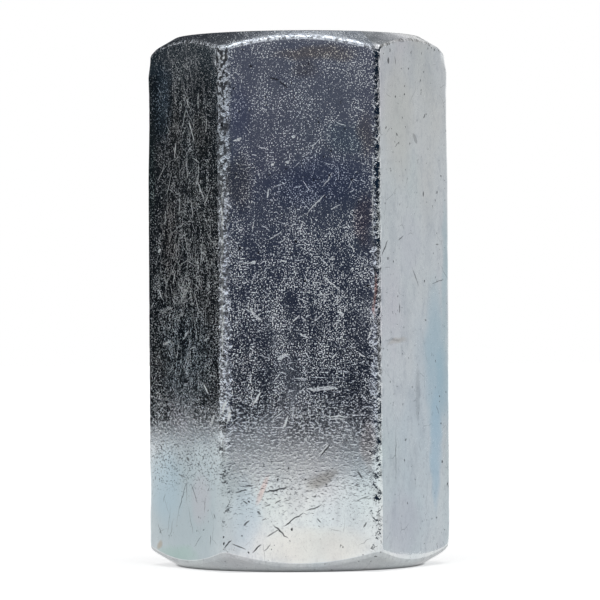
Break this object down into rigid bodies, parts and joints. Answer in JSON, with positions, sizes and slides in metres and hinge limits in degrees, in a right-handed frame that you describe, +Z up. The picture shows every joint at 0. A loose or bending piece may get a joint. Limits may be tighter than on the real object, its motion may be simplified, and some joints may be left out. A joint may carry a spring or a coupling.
{
  "type": "coupling nut",
  "caption": "Long hexagonal coupling nut with chamfered ends and a through thread that joins two threaded rods end to end.",
  "frame": {"origin": "centre of the lower end face, on the thread's axis", "axes": "+Z up along the thread's axis to the upper end face; two of the six flats face along -Y and +Y, and two corners lie along -X and +X"},
  "size_m": [0.0274, 0.024, 0.048],
  "materials": {
    "zinc_plated_steel": "bright zinc plating with a clear blue passivation, satin, finely pitted and scratched"
  },
  "bodies": {
    "root": {"coupling_nut": "zinc_plated_steel"}
  },
  "joints": []
}
